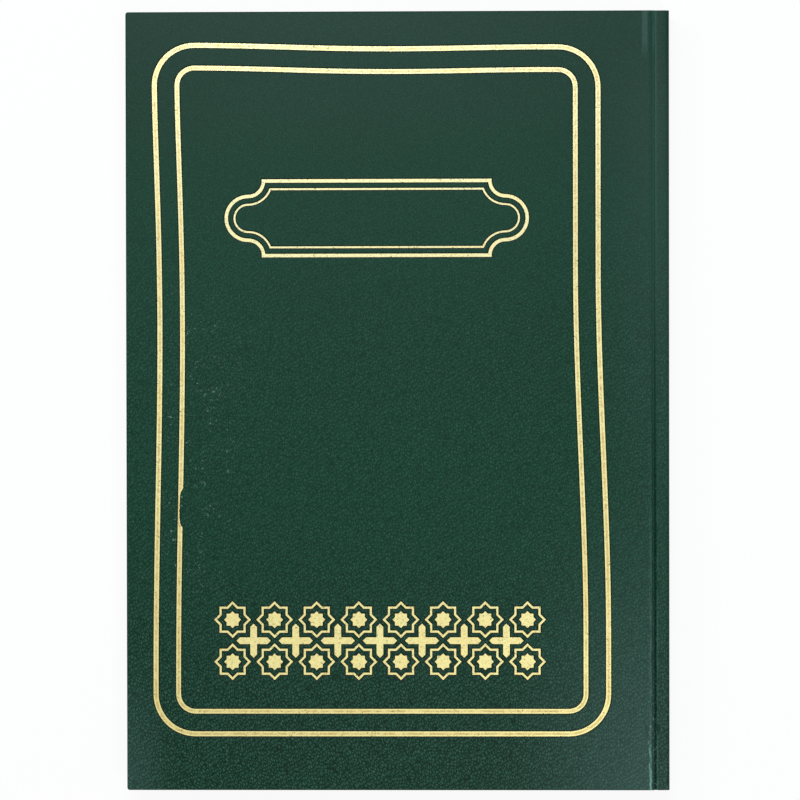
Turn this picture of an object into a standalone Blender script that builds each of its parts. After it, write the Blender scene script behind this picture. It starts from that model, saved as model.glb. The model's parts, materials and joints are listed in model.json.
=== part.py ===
"""A case-bound receipts ledger, closed and lying on its back cover, modelled piece by piece.

Metres, +Z up. The spine is at +X and the head of the book at +Y, so a reader who looks down at
the front cover sees the spine on the right. The origin is on the surface that the book lies on,
under the middle of its outline.
"""

import math

import bmesh
import bpy
from mathutils import Vector

# Leaves
PAGE_WIDTH = 0.2055
PAGE_HEIGHT = 0.297
LEAF = 0.000095
LEAVES_PER_SECTION = 8
SECTION_COUNT = 12
ENDPAPER = 0.00015

# Case
BOARD = 0.002
SPINE_BOARD = 0.0012
LEATHERETTE = 0.0004
SQUARE = 0.003
TURN_IN = 0.015
PASTEDOWN_INSET = 0.004
PASTEDOWN_SLOPE = 0.0015
COVER_EDGE_ROUND = 0.0003
SPINE_CORNER = 0.0012
SHOULDER_WIDTH = 0.0012
SPINE_CAP_SET_BACK = 0.0001

# Spine of the text block
SEWING_THREAD = 0.00035
SEWING_STATIONS = 5
STATION_END_MARGIN = 0.038
MULL = 0.0002
MULL_END_MARGIN = 0.012
LINING = 0.00015
HEADBAND_BEAD = 0.0016
HEADBAND_TAB = 0.009
HOLLOW = 0.0003

# Hinges: axes as distances from the plane of the section folds and from the covers' outer faces
GROOVE_FLOOR = 0.0009
COVER_AXIS_INSET = 0.000375
COVER_AXIS_DEPTH = 0.00035
LEAF_AXIS_INSET = 0.008
LEAF_START = 0.004
BOUND_PAST_AXIS = 0.002

# Clearances
GLUE = 0.00005
AIR = 0.00005
JOINT_CLEARANCE = 0.0001
OPEN_CLEARANCE = 0.00025
KERF_CLEARANCE = 0.0001

# Roundness of the small curves
ARC_STEPS = 5
FOLD_STEPS = 4
THREAD_SIDES = 8

# Derived across the thickness, measured from the middle of the book
SECTION = LEAF * LEAVES_PER_SECTION
SECTION_PITCH = SECTION + AIR
BLOCK = SECTION_COUNT * SECTION + (SECTION_COUNT - 1) * AIR
COVER = LEATHERETTE + GLUE + BOARD + GLUE + LEATHERETTE + GLUE + ENDPAPER
INNER_FACE = BLOCK / 2 + AIR + ENDPAPER + AIR
OUTER_FACE = INNER_FACE + COVER
THICKNESS = 2 * OUTER_FACE
FLYLEAF_LOW = BLOCK / 2 + AIR

# Derived across the width, measured outwards from the section folds
MULL_AT = GLUE
LINING_AT = MULL_AT + MULL + GLUE
SPINE_TURN_IN_AT = LINING_AT + LINING + HOLLOW
SPINE_BOARD_AT = SPINE_TURN_IN_AT + LEATHERETTE + GLUE
SPINE_SKIN_AT = SPINE_BOARD_AT + SPINE_BOARD + GLUE
SPINE_STACK = SPINE_SKIN_AT + LEATHERETTE

# Derived joint: a cover that is folded right back has to lie clear of the spine and above its shoulder
JOINT_GAP = SPINE_STACK + 2 * COVER_AXIS_INSET + OPEN_CLEARANCE
SHOULDER_DROP = 2 * COVER_AXIS_DEPTH + OPEN_CLEARANCE

# Derived sewing: the thread lies sunk in kerfs that are sawn across the folds
STATION_PITCH = (PAGE_HEIGHT - 2 * STATION_END_MARGIN) / (SEWING_STATIONS - 1)
KERF_WIDTH = SEWING_THREAD + 2 * KERF_CLEARANCE
KERF_DEPTH = SEWING_THREAD + KERF_CLEARANCE

# Derived outline of the book
WIDTH = SQUARE + PAGE_WIDTH + SPINE_STACK
COVER_HEIGHT = PAGE_HEIGHT + 2 * SQUARE
FOLD_X = WIDTH / 2 - SPINE_STACK
FORE_EDGE_X = -WIDTH / 2
PAGE_EDGE_X = FOLD_X - PAGE_WIDTH
COVER_NEAR_X = FOLD_X - JOINT_GAP
LEAF_AXIS_X = FOLD_X - LEAF_AXIS_INSET
LEAF_NEAR_X = LEAF_AXIS_X - LEAF_START
BOUND_EDGE_X = LEAF_AXIS_X - BOUND_PAST_AXIS
COVER_WRAP = LEATHERETTE + GLUE
FRONT = 1
BACK = -1


def level(side, height):
    """World Z of a height above the middle of the book, on the front or the back side."""
    return THICKNESS / 2 + side * height


def clear_scene():
    for obj in list(bpy.data.objects):
        bpy.data.objects.remove(obj, do_unlink=True)


def material(name, colour, roughness):
    made = bpy.data.materials.new(name)
    made.use_nodes = True
    shader = made.node_tree.nodes["Principled BSDF"]
    shader.inputs["Base Color"].default_value = (*colour, 1.0)
    shader.inputs["Roughness"].default_value = roughness
    shader.inputs["Metallic"].default_value = 0.0
    return made


def empty(name, place, parent=None):
    """An empty at a world place, which carries the pieces of one body."""
    made = bpy.data.objects.new(name, None)
    bpy.context.scene.collection.objects.link(made)
    made.parent = parent
    made.location = Vector(place) - (parent.location if parent else Vector())
    return made


def add(name, mesh, finish, carrier):
    """An object from a bmesh in world coordinates, with its origin on its carrier."""
    bmesh.ops.recalc_face_normals(mesh, faces=mesh.faces)
    bmesh.ops.translate(mesh, verts=mesh.verts, vec=-carrier_place(carrier))
    data = bpy.data.meshes.new(name)
    mesh.to_mesh(data)
    mesh.free()
    made = bpy.data.objects.new(name, data)
    bpy.context.scene.collection.objects.link(made)
    made.parent = carrier
    if finish:
        data.materials.append(finish)
    return made


def carrier_place(carrier):
    place = Vector()
    while carrier:
        place += carrier.location
        carrier = carrier.parent
    return place


def block(low, high):
    """A box between two corners, given in any order."""
    mesh = bmesh.new()
    bmesh.ops.create_cube(mesh, size=1.0)
    low, high = Vector(low), Vector(high)
    size = Vector([abs(a) for a in high - low])
    bmesh.ops.scale(mesh, verts=mesh.verts, vec=size)
    bmesh.ops.translate(mesh, verts=mesh.verts, vec=(low + high) / 2)
    return mesh


def extruded(points, start, length):
    """A closed outline, pushed along a direction: points and start are world coordinates."""
    mesh = bmesh.new()
    face = mesh.faces.new([mesh.verts.new(Vector(p) + Vector(start)) for p in points])
    grown = bmesh.ops.extrude_face_region(mesh, geom=[face])
    moved = [v for v in grown["geom"] if isinstance(v, bmesh.types.BMVert)]
    bmesh.ops.translate(mesh, verts=moved, vec=length)
    return mesh


def along_pages(outline, height):
    """An outline of (x, z) points, extruded from tail to head over the given height."""
    points = [(x, 0.0, z) for x, z in outline]
    return extruded(points, (0.0, -height / 2, 0.0), (0.0, height, 0.0))


def boolean(target, operation, tool):
    tool.hide_render = True
    tool.display_type = "WIRE"
    change = target.modifiers.new(f"{operation.lower()} {tool.name}", "BOOLEAN")
    change.operation = operation
    change.object = tool


def arc(centre, radius, start, end, steps):
    """Points of an arc in the XZ plane, angles in degrees from +X towards +Z."""
    angles = [math.radians(start + (end - start) * i / steps) for i in range(steps + 1)]
    return [(centre[0] + radius * math.cos(a), centre[1] + radius * math.sin(a)) for a in angles]


def ribbon(line, thickness):
    """The closed outline of a strip of even thickness about an open line of (x, z) points."""
    left, right = [], []
    for i, point in enumerate(line):
        before = Vector(line[max(i - 1, 0)])
        after = Vector(line[min(i + 1, len(line) - 1)])
        along = (after - before).normalized()
        across = Vector((-along.y, along.x)) * thickness / 2
        left.append(tuple(Vector(point) + across))
        right.append(tuple(Vector(point) - across))
    return left + right[::-1]


def cover_board(name, side, finish, carrier):
    """Greyboard of one cover, wrapped on all sides by the leatherette."""
    outer = OUTER_FACE - COVER_WRAP
    low = (FORE_EDGE_X + COVER_WRAP, -COVER_HEIGHT / 2 + COVER_WRAP, level(side, outer - BOARD))
    high = (COVER_NEAR_X - COVER_WRAP, COVER_HEIGHT / 2 - COVER_WRAP, level(side, outer))
    return add(name, block(low, high), finish, carrier)


def cover_leatherette(name, side, finish, carrier):
    """Leatherette of one cover, turned in at the head, the tail and the fore-edge."""
    inner = INNER_FACE + ENDPAPER + GLUE
    half = COVER_HEIGHT / 2
    skin = add(
        name,
        block((FORE_EDGE_X, -half, level(side, inner)), (COVER_NEAR_X, half, level(side, OUTER_FACE))),
        finish,
        carrier,
    )
    softened = skin.modifiers.new("soft edges", "BEVEL")
    softened.width = COVER_EDGE_ROUND
    softened.segments = 2
    room = block(
        (FORE_EDGE_X + LEATHERETTE, -half + LEATHERETTE, level(side, inner + LEATHERETTE)),
        (COVER_NEAR_X - LEATHERETTE, half - LEATHERETTE, level(side, OUTER_FACE - LEATHERETTE)),
    )
    boolean(skin, "DIFFERENCE", add(f"{name}_board_room", room, None, carrier))
    window = block(
        (FORE_EDGE_X + TURN_IN, -half + TURN_IN, level(side, inner - LEATHERETTE)),
        (COVER_NEAR_X - LEATHERETTE, half - TURN_IN, level(side, inner + 2 * LEATHERETTE)),
    )
    boolean(skin, "DIFFERENCE", add(f"{name}_turn_in_window", window, None, carrier))
    return skin


def pastedown(name, side, finish, carrier):
    """Endpaper glued inside a cover: it steps down from the turn-ins onto the board."""
    step = LEATHERETTE + GLUE
    near = COVER_NEAR_X - COVER_WRAP
    left = FORE_EDGE_X + PASTEDOWN_INSET
    half = COVER_HEIGHT / 2 - PASTEDOWN_INSET
    turn_x = FORE_EDGE_X + TURN_IN + AIR
    turn_y = COVER_HEIGHT / 2 - TURN_IN - AIR
    columns = [(left, 0), (turn_x, 0), (turn_x + PASTEDOWN_SLOPE, 1), (near, 1)]
    rows = [(-half, 0), (-turn_y, 0), (-turn_y + PASTEDOWN_SLOPE, 1)]
    rows += [(-y, deep) for y, deep in reversed(rows)]
    mesh = bmesh.new()
    grid = []
    for y, deep_row in rows:
        line = []
        for x, deep_column in columns:
            height = INNER_FACE + step * min(deep_row, deep_column)
            line.append(mesh.verts.new((x, y, level(side, height))))
        grid.append(line)
    for low, high in zip(grid, grid[1:]):
        for i in range(len(columns) - 1):
            mesh.faces.new((low[i], low[i + 1], high[i + 1], high[i]))
    grown = bmesh.ops.extrude_face_region(mesh, geom=list(mesh.faces))
    moved = [v for v in grown["geom"] if isinstance(v, bmesh.types.BMVert)]
    bmesh.ops.translate(mesh, verts=moved, vec=(0.0, 0.0, side * ENDPAPER))
    return add(name, mesh, finish, carrier)


def endpaper_fold(name, side, finish, carrier):
    """Fold of an endpaper: tipped onto the text block, and open towards the cover."""
    low = level(side, FLYLEAF_LOW)
    split_low = level(side, FLYLEAF_LOW + ENDPAPER)
    split_high = level(side, INNER_FACE)
    high = level(side, INNER_FACE + ENDPAPER)
    flap_x = COVER_NEAR_X + JOINT_CLEARANCE
    outline = [
        (BOUND_EDGE_X, low),
        (FOLD_X, low),
        (FOLD_X, high),
        (flap_x, high),
        (flap_x, split_high),
        (FOLD_X - ENDPAPER, split_high),
        (FOLD_X - ENDPAPER, split_low),
        (BOUND_EDGE_X, split_low),
    ]
    return add(name, along_pages(outline, PAGE_HEIGHT), finish, carrier)


def flyleaf(name, side, finish, carrier):
    """Free leaf of an endpaper."""
    low = (PAGE_EDGE_X, -PAGE_HEIGHT / 2, level(side, FLYLEAF_LOW))
    high = (LEAF_NEAR_X, PAGE_HEIGHT / 2, level(side, FLYLEAF_LOW + ENDPAPER))
    return add(name, block(low, high), finish, carrier)


def section_middle(index):
    """World Z of the middle of a section, counted from the front."""
    return level(FRONT, BLOCK / 2 - SECTION / 2 - index * SECTION_PITCH)


def section_leaves(name, index, finish, carrier):
    """The leaves of one section, from the fore-edge to the gutter where they bend."""
    middle = section_middle(index)
    low = (PAGE_EDGE_X, -PAGE_HEIGHT / 2, middle - SECTION / 2)
    high = (LEAF_NEAR_X, PAGE_HEIGHT / 2, middle + SECTION / 2)
    return add(name, block(low, high), finish, carrier)


def station_place(station):
    """World Y of a sewing station, counted from the tail."""
    return (station - (SEWING_STATIONS - 1) / 2) * STATION_PITCH


def sewn_folds(name, finish, carrier):
    """The gutters of all sections, glued into one back with a round for each fold and sawn kerfs."""
    outline = [(BOUND_EDGE_X, level(FRONT, BLOCK / 2)), (BOUND_EDGE_X, level(BACK, BLOCK / 2))]
    for index in reversed(range(SECTION_COUNT)):
        centre = (FOLD_X - SECTION / 2, section_middle(index))
        outline += arc(centre, SECTION / 2, -90, 90, FOLD_STEPS)
    folds = add(name, along_pages(outline, PAGE_HEIGHT), finish, carrier)
    for station in range(SEWING_STATIONS):
        y = station_place(station)
        kerf = block(
            (FOLD_X - KERF_DEPTH, y - KERF_WIDTH / 2, level(BACK, OUTER_FACE)),
            (FOLD_X + KERF_DEPTH, y + KERF_WIDTH / 2, level(FRONT, OUTER_FACE)),
        )
        boolean(folds, "DIFFERENCE", add(f"{name}_kerf_{station + 1}", kerf, None, carrier))
    return folds


def sewing_thread(name, station, finish, carrier):
    """One row of linked stitches, which runs across the folds in its kerf."""
    mesh = bmesh.new()
    radius = SEWING_THREAD / 2
    bmesh.ops.create_cone(
        mesh, cap_ends=True, segments=THREAD_SIDES, radius1=radius, radius2=radius, depth=BLOCK - SECTION
    )
    place = (FOLD_X - radius, station_place(station), THICKNESS / 2)
    bmesh.ops.translate(mesh, verts=mesh.verts, vec=place)
    made = add(name, mesh, finish, carrier)
    made.data.shade_smooth()
    return made


def spine_strip(name, at, thickness, height, finish, carrier):
    """A flat strip on the back of the text block, as thick as the block."""
    low = (FOLD_X + at, -height / 2, level(BACK, BLOCK / 2))
    high = (FOLD_X + at + thickness, height / 2, level(FRONT, BLOCK / 2))
    return add(name, block(low, high), finish, carrier)


def headband(name, end, finish, carrier):
    """A beaded band: its bead stands on the end of the folds, its tab is glued to their back."""
    tip = PAGE_HEIGHT / 2 + GLUE
    radius = HEADBAND_BEAD / 2
    tab_in = FOLD_X + MULL_AT
    tab_out = tab_in + MULL
    centre = (tab_out - radius, tip)
    bead = [
        (centre[0] + radius * math.cos(a), centre[1] + HEADBAND_BEAD * math.sin(a))
        for a in (math.pi * i / (2 * ARC_STEPS) for i in range(2 * ARC_STEPS + 1))
    ]
    tab_end = PAGE_HEIGHT / 2 - HEADBAND_TAB
    outline = bead + [(tab_in, tip), (tab_in, tab_end), (tab_out, tab_end)]
    points = [(x, end * y, 0.0) for x, y in outline]
    mesh = extruded(points, (0.0, 0.0, level(BACK, BLOCK / 2)), (0.0, 0.0, BLOCK))
    return add(name, mesh, finish, carrier)


def spine_board(name, finish, carrier):
    """Stiff strip of the case behind the text block, with rounded outer edges."""
    top = OUTER_FACE - SHOULDER_DROP - COVER_WRAP
    inner = FOLD_X + SPINE_BOARD_AT
    outer = inner + SPINE_BOARD
    radius = min(SPINE_CORNER - LEATHERETTE / 2 - GLUE, SPINE_BOARD)
    outline = [(inner, level(BACK, top))]
    outline += arc((outer - radius, level(BACK, top - radius)), radius, -90, 0, ARC_STEPS)
    outline += arc((outer - radius, level(FRONT, top - radius)), radius, 0, 90, ARC_STEPS)
    outline += [(inner, level(FRONT, top))]
    height = COVER_HEIGHT - 2 * (COVER_WRAP + SPINE_CAP_SET_BACK)
    return add(name, along_pages(outline, height), finish, carrier)


def joint_line(side):
    """Middle line of the spine leatherette from a cover's edge, over the shoulder, to the spine."""
    floor = INNER_FACE + ENDPAPER + GLUE + LEATHERETTE / 2
    shoulder = OUTER_FACE - SHOULDER_DROP - LEATHERETTE / 2
    start = COVER_NEAR_X + JOINT_CLEARANCE
    rise_start = start + GROOVE_FLOOR
    rise_end = FOLD_X - SHOULDER_WIDTH
    outer = FOLD_X + SPINE_STACK - LEATHERETTE / 2
    line = [(start, level(side, floor))]
    for i in range(ARC_STEPS + 2):
        share = i / (ARC_STEPS + 1)
        lift = (1 - math.cos(math.pi * share)) / 2
        x = rise_start + (rise_end - rise_start) * share
        line.append((x, level(side, floor + (shoulder - floor) * lift)))
    centre = (outer - SPINE_CORNER, level(side, shoulder - SPINE_CORNER))
    return line + arc(centre, SPINE_CORNER, side * 90, 0, ARC_STEPS)


def spine_leatherette(name, finish, carrier):
    """Leatherette over the spine and down into both joint grooves, turned in at head and tail."""
    line = joint_line(FRONT) + joint_line(BACK)[::-1]
    skin = add(name, along_pages(ribbon(line, LEATHERETTE), COVER_HEIGHT), finish, carrier)
    tuck = LEATHERETTE / 2
    top = OUTER_FACE - SHOULDER_DROP - LEATHERETTE + tuck
    inner = FOLD_X + SPINE_TURN_IN_AT
    outer = FOLD_X + SPINE_SKIN_AT + tuck
    middle = inner + tuck
    cap_outline = [(middle, level(BACK, top))]
    for side in (BACK, FRONT):
        centre = (outer - SPINE_CORNER, level(side, top - SPINE_CORNER))
        quarter = arc(centre, SPINE_CORNER, side * 90, 0, ARC_STEPS)
        cap_outline += quarter if side == BACK else quarter[::-1]
    cap_outline += [(middle, level(FRONT, top))]
    for end, words in ((1, "head"), (-1, "tail")):
        edge = end * (COVER_HEIGHT / 2 - SPINE_CAP_SET_BACK)
        cap_points = [(x, edge, z) for x, z in cap_outline]
        cap = extruded(cap_points, (0.0, 0.0, 0.0), (0.0, -end * LEATHERETTE, 0.0))
        boolean(skin, "UNION", add(f"{name}_{words}_cap", cap, None, carrier))
        flap = block(
            (inner, edge - end * TURN_IN, level(BACK, top)),
            (inner + LEATHERETTE, edge - end * tuck, level(FRONT, top)),
        )
        boolean(skin, "UNION", add(f"{name}_{words}_flap", flap, None, carrier))
    return skin


def build_cover(words, side, book, finishes):
    """One cover and its endpaper, each on the axis that it turns about."""
    axis_z = level(side, OUTER_FACE - COVER_AXIS_DEPTH)
    hinge = empty(f"{words}_cover_hinge", (FOLD_X - COVER_AXIS_INSET, 0.0, axis_z), book)
    cover_board(f"{words}_board", side, finishes["greyboard"], hinge)
    cover_leatherette(f"{words}_leatherette", side, finishes["leatherette"], hinge)
    pastedown(f"{words}_pastedown", side, finishes["endpaper"], hinge)
    endpaper_fold(f"{words}_endpaper_fold", side, finishes["endpaper"], book)
    turn = empty(f"{words}_flyleaf_turn", (LEAF_AXIS_X, 0.0, level(side, FLYLEAF_LOW + ENDPAPER / 2)), book)
    flyleaf(f"{words}_flyleaf", side, finishes["endpaper"], turn)


def build_text_block(book, finishes):
    """Sections, each on its own axis in the gutter, and what binds them at the spine."""
    for index in range(SECTION_COUNT):
        number = f"{index + 1:02d}"
        turn = empty(f"section_{number}_turn", (LEAF_AXIS_X, 0.0, section_middle(index)), book)
        section_leaves(f"section_{number}", index, finishes["paper"], turn)
    sewn_folds("sewn_folds", finishes["paper"], book)
    for station in range(SEWING_STATIONS):
        sewing_thread(f"sewing_thread_{station + 1}", station, finishes["thread"], book)
    spine_strip("mull", MULL_AT, MULL, PAGE_HEIGHT - 2 * MULL_END_MARGIN, finishes["thread"], book)
    spine_strip("spine_lining", LINING_AT, LINING, PAGE_HEIGHT, finishes["kraft"], book)
    headband("head_band", 1, finishes["thread"], book)
    headband("tail_band", -1, finishes["thread"], book)


def main():
    clear_scene()
    finishes = {
        "leatherette": material("leatherette", (0.013, 0.052, 0.033), 0.5),
        "greyboard": material("greyboard", (0.33, 0.3, 0.26), 0.9),
        "paper": material("paper", (0.83, 0.81, 0.74), 0.85),
        "endpaper": material("endpaper", (0.87, 0.85, 0.79), 0.8),
        "thread": material("thread", (0.8, 0.78, 0.7), 0.9),
        "kraft": material("kraft", (0.45, 0.31, 0.18), 0.85),
    }
    book = empty("book", (0.0, 0.0, 0.0))
    build_cover("front", FRONT, book, finishes)
    build_cover("back", BACK, book, finishes)
    build_text_block(book, finishes)
    spine_board("spine_board", finishes["greyboard"], book)
    spine_leatherette("spine_leatherette", finishes["leatherette"], book)


main()
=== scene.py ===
import json
import math
import random

import bmesh
import bpy
import numpy as np
from mathutils import Euler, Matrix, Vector, geometry

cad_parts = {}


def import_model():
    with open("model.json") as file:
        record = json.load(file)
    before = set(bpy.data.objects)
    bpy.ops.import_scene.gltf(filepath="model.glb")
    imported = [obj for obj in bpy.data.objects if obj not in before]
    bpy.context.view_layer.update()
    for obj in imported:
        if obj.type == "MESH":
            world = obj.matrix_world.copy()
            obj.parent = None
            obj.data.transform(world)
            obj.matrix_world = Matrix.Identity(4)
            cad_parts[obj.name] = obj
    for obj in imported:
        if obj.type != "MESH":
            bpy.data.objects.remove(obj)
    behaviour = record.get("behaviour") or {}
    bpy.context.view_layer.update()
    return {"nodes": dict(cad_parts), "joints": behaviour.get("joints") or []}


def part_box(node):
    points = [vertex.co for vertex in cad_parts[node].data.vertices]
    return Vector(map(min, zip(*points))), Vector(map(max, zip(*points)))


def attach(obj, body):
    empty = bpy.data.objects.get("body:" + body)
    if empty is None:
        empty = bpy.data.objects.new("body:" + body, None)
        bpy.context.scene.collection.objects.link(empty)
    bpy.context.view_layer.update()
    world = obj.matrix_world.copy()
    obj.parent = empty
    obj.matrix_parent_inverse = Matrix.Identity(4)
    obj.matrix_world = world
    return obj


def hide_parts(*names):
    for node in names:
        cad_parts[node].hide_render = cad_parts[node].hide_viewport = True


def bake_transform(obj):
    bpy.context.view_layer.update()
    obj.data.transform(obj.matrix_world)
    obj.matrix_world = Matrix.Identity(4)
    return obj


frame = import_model()

# Places read from the solids, in metres; heights are above the middle of the book
FOLD_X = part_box("sewn_folds")[1].x
NEAR_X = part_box("front_leatherette")[1].x
FORE_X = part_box("front_leatherette")[0].x
SPINE_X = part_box("spine_leatherette")[1].x
STRIP_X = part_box("spine_board")[0].x
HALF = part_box("front_leatherette")[1].y
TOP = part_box("front_leatherette")[1].z
MIDDLE = TOP / 2
FACE = TOP - MIDDLE
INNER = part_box("front_pastedown")[0].z - MIDDLE
TURN_IN_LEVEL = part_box("front_leatherette")[0].z - MIDDLE
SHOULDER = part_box("spine_leatherette")[1].z - MIDDLE
PAGE_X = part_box("section_01")[0].x
PAGE_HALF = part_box("section_01")[1].y
JOINTS = {joint["child"]: joint for joint in frame["joints"]}
LEAF_AXIS_X = JOINTS["section_01"]["pos_m"][0]
LEAF_START_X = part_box("section_01")[1].x

# What repeats: covers, with the way each one faces, sections and rows of thread
SIDES = (("front", 1), ("back", -1))
SECTIONS = 12
THREADS = 5

# The photograph's frame: its width, the book's width in it and the middle of the book, in pixels
FRAME_PX = 800
BOOK_PX = 543.6
CENTRE_PX = (397.5, 401.2)

# Camera: lens and sensor in millimetres, turn about X, Y and Z in degrees
LENS = 135.0
SENSOR = 36.0
CAMERA_TURN = (-0.57, 1.0, -0.1)

# Floor, studio and lamps; a lamp has a place, an aim, a size, a power in watts and a colour
FLOOR_HALF = 3.0
FLOOR_DROP = 0.00005
FLOOR_TONE = (0.9, 0.9, 0.9, 1)
FLOOR_GLOW = 0.9
WORLD_LEVEL = 0.3
PLAIN = (1, 1, 1)
COOL = (0.88, 0.94, 1.0)
LAMPS = {
    "key": ((-0.7, 0.6, 0.9), (0, 0, 0), (0.9, 0.7), 4.5, PLAIN),
    "head": ((-0.037, 0.387, 1.0), (0, 0.1, 0), (0.5, 0.16), 4.8, COOL),
    "tail": ((0.323, -0.433, 1.0), (0.1, -0.12, 0), (0.25, 0.25), 2.9, COOL),
}

# Leatherette: thickness, turn-ins, and the rounding of the covers' edges, corners and spine; at the joint
# a corner has only a share of its rounding
SKIN = 0.0004
TURN_IN = 0.015
EDGE_ROUND = 0.00055
EDGE_STEPS = 5
JOINT_ROUND = 0.0012
JOINT_TURN_IN = JOINT_ROUND + 0.0001
PLAN_CORNER = 0.0004
JOINT_CORNER = 0.2
SPINE_CORNER = 0.0012

# Joint groove, below the cover's face: shallow at the head, pressed deeper at the tail
GROOVE_X = NEAR_X + 0.00112
GROOVE_HEAD = 0.00102
GROOVE_TAIL = 0.00195

# Strip in the joint, from a gap beside the cover to the flat of the spine's shoulder, and the places along
# the book where the strip and the spine have points
JOINT_GAP = 0.00003
JOINT_SKIN = SKIN - 0.00002
SHOULDER_X = (FOLD_X - 0.0012, FOLD_X - 0.0002)
ALONG_STEPS = 60
STATIONS = [HALF * (2 * i / ALONG_STEPS - 1) for i in range(ALONG_STEPS + 1)]

# Turn-in at the ends of the spine: how far each ring lies from the end, and how far it draws in
CAP_OVERLAP = 0.0003
CAP_RINGS = ((0.0006, 0.0), (0.00022, 0.0), (0.00008, 0.00015), (0.00004, 0.0004))

# Leaves: unevenness of their cut edges, and columns in the flat part and in the gutter
FORE_UNEVEN = (-0.00012, 0.0001)
END_UNEVEN = 0.00015
FORE_COLUMN = 0.02
GUTTER_COLUMNS = (0.012, 0.003)
FOLD_COLUMN = 0.003
BEND_MARGIN = 0.0004
BEND_STEPS = 14
FLYLEAF_SEED = 40

# Endpaper hinges: their thickness, the first points of their line from the cover's near edge and the
# pastedown's inner face, and the level stretch that follows
FLAP = 0.00012
FLAP_START = ((-0.0024, 0.00038), (-0.0019, 0.00035), (-0.0014, 0.00014), (-0.0006, 0.00012), (0.0, 0.0001))
FLAP_LEVEL = 0.000075
FLAP_X = (NEAR_X + 0.0006, FOLD_X - 0.0001)
FLAP_STEPS = 10

# Leatherette grain: fine pebbles and coarse wrinkles to the metre, the wrinkles' turn and stretch, and
# the swirls that bend both; each fade goes from its first place along Y to its second
PEBBLES = 1350.0
PEBBLE_FADE = (0.14, -0.08)
WRINKLES = 1150.0
WRINKLE_TURN = math.radians(30)
WRINKLE_STRETCH = (1.0, 1.8, 1.0)
WRINKLE_FADES = ((0.12, 0.0), (-0.04, -0.14))
SWIRLS = 600.0
SWIRL_REACH = 0.0011
TAIL_TINT_FADE = (0.12, -0.02)
# the second fade is where a painted sheen at the head comes in
HEAD_TINT_FADE = (0.07, 0.14)

# Marks of use on the front, with painted highlights, light and sheen among them: spans along X or Y, and
# fades from the first place to the second
OUTSIDE_Z = (TOP - 0.0026, TOP - 0.0020)
SPECKS_X = (-0.092, -0.066)
SPECKS_Y = (-0.072, 0.036)
# painted highlight, partly rubbing, on the board's crest and the spine's crest
BOARD_CREST_X = (NEAR_X - 0.0011, NEAR_X - 0.0002)
SPINE_CREST_X = (GROOVE_X + 0.0006, GROOVE_X + 0.0011)
CREST_FADE = (0.02, -0.14)
CREASE_X = (NEAR_X - 0.0011, NEAR_X - 0.0005)
CREASE_FADE = (-0.131, -0.139)
CREASE_WANDER = 0.0024
CHIPS_X = (NEAR_X - 0.001775, NEAR_X + 0.001525)
CHIPS_FADE = (-0.100, -0.122)
# painted highlights beside the groove and in it at the head
HEAD_BOARD_X = (NEAR_X - 0.003875, NEAR_X - 0.001775)
HEAD_GROOVE_X = (NEAR_X + 0.000225, NEAR_X + 0.001325)
HEAD_FADE = (0.131, 0.141)
# painted light that pales the groove's upper half
PALE_GROOVE_X = (NEAR_X - 0.0006, GROOVE_X + 0.0006)
PALE_GROOVE_FADE = (-0.06, 0.09)
# painted sheen at the tail's corners and along the side of the spine
RIGHT_CORNER_FADES = ((0.035, 0.105), (-0.02, -0.16))
RIGHT_CORNER_END = (NEAR_X - 0.0005, NEAR_X + 0.002)
LEFT_CORNER_FADES = ((-0.085, -0.107), (-0.09, -0.155))
SPINE_SIDE_FADES = ((0.070, 0.104), (-0.13, 0.06))
SPINE_SIDE_END = (0.11, 0.15)

# Foil: how deep it is sunk, the slope beside it, its changes of tone along Y, and where along Y it has a
# painted highlight
FOIL_SINK = 0.0001
FOIL_SLOPE = 0.0005
FOIL_TONE_FADE = (-0.15, 0.13)
FOIL_HIGHLIGHT_Y = (-0.05, 0.04)

# Border: its corners, how far its sides bow in and where, the stretch over which the right side leans in,
# the corners' rounding, the two lines' distance and widths, and the flaked stretch of the inner one
BORDER_CORNERS = ((0.0780, 0.1374), (-0.0944, 0.1385), (-0.0943, -0.1295), (0.0819, -0.1295))
BORDER_BOW = (0.00105, 0.0019, 0.0, 0.0)
BOW_MIDDLE = (0.5, 0.4, 0.5, 0.5)
BORDER_LEAN = (0.1, 0.7)
BORDER_RADIUS = 0.0155
BORDER_STEP = 0.0088
BORDER_LINES = (0.0019, 0.0018)
FLAKE_Y = -0.0414
FLAKE_HALF = 0.0075
FLAKE_DEPTH = 0.0014
FLAKE_ROUGH = 0.2
FLAKE_STEPS = 12
FLAKE_SEED = 7

# Panel of two lines near the head
PANEL_CENTRE = (-0.0080, 0.0712)
PANEL_HALF = (0.0585, 0.0145)
PANEL_NOTCH = 0.0060
PANEL_STEP = 0.0032
PANEL_LINES = (0.0013, 0.0007)

# Band of eight-point stars and crosses near the tail; a star's notches lie at a share of its radius
BAND_CENTRE = (-0.0070, -0.0932)
BAND_PITCH = 0.0164
BAND_COLUMNS = 8
BAND_ROWS = 2
STAR_RADIUS = BAND_PITCH / 2 - 0.0016
STAR_LINE = 0.0008
STAR_CORE = BAND_PITCH * 0.2
STAR_NOTCH = math.cos(math.pi / 4) / math.cos(math.pi / 8)
CROSS_GAP = 0.0011

# Ruling of the pages
ROW_STEP = 0.008
ROW_SHIFT = 0.5
ROW_HALF_LINE = 0.00012
ROWS_X = (-0.094, 0.086)
ROWS_Y = (-0.136, 0.118)
COLUMNS = (-0.094, -0.066, -0.038, 0.030, 0.058, 0.072, 0.086)
COLUMN_HALF_LINE = 0.0002
COLUMNS_Y = (-0.136, 0.130)
RULE_SOFT = 0.0002

# Steps between the threads of the woven pieces
MULL_WEAVE = 0.0008
BAND_WEAVE = 0.0006
THREAD_WEAVE = 0.0003

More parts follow.
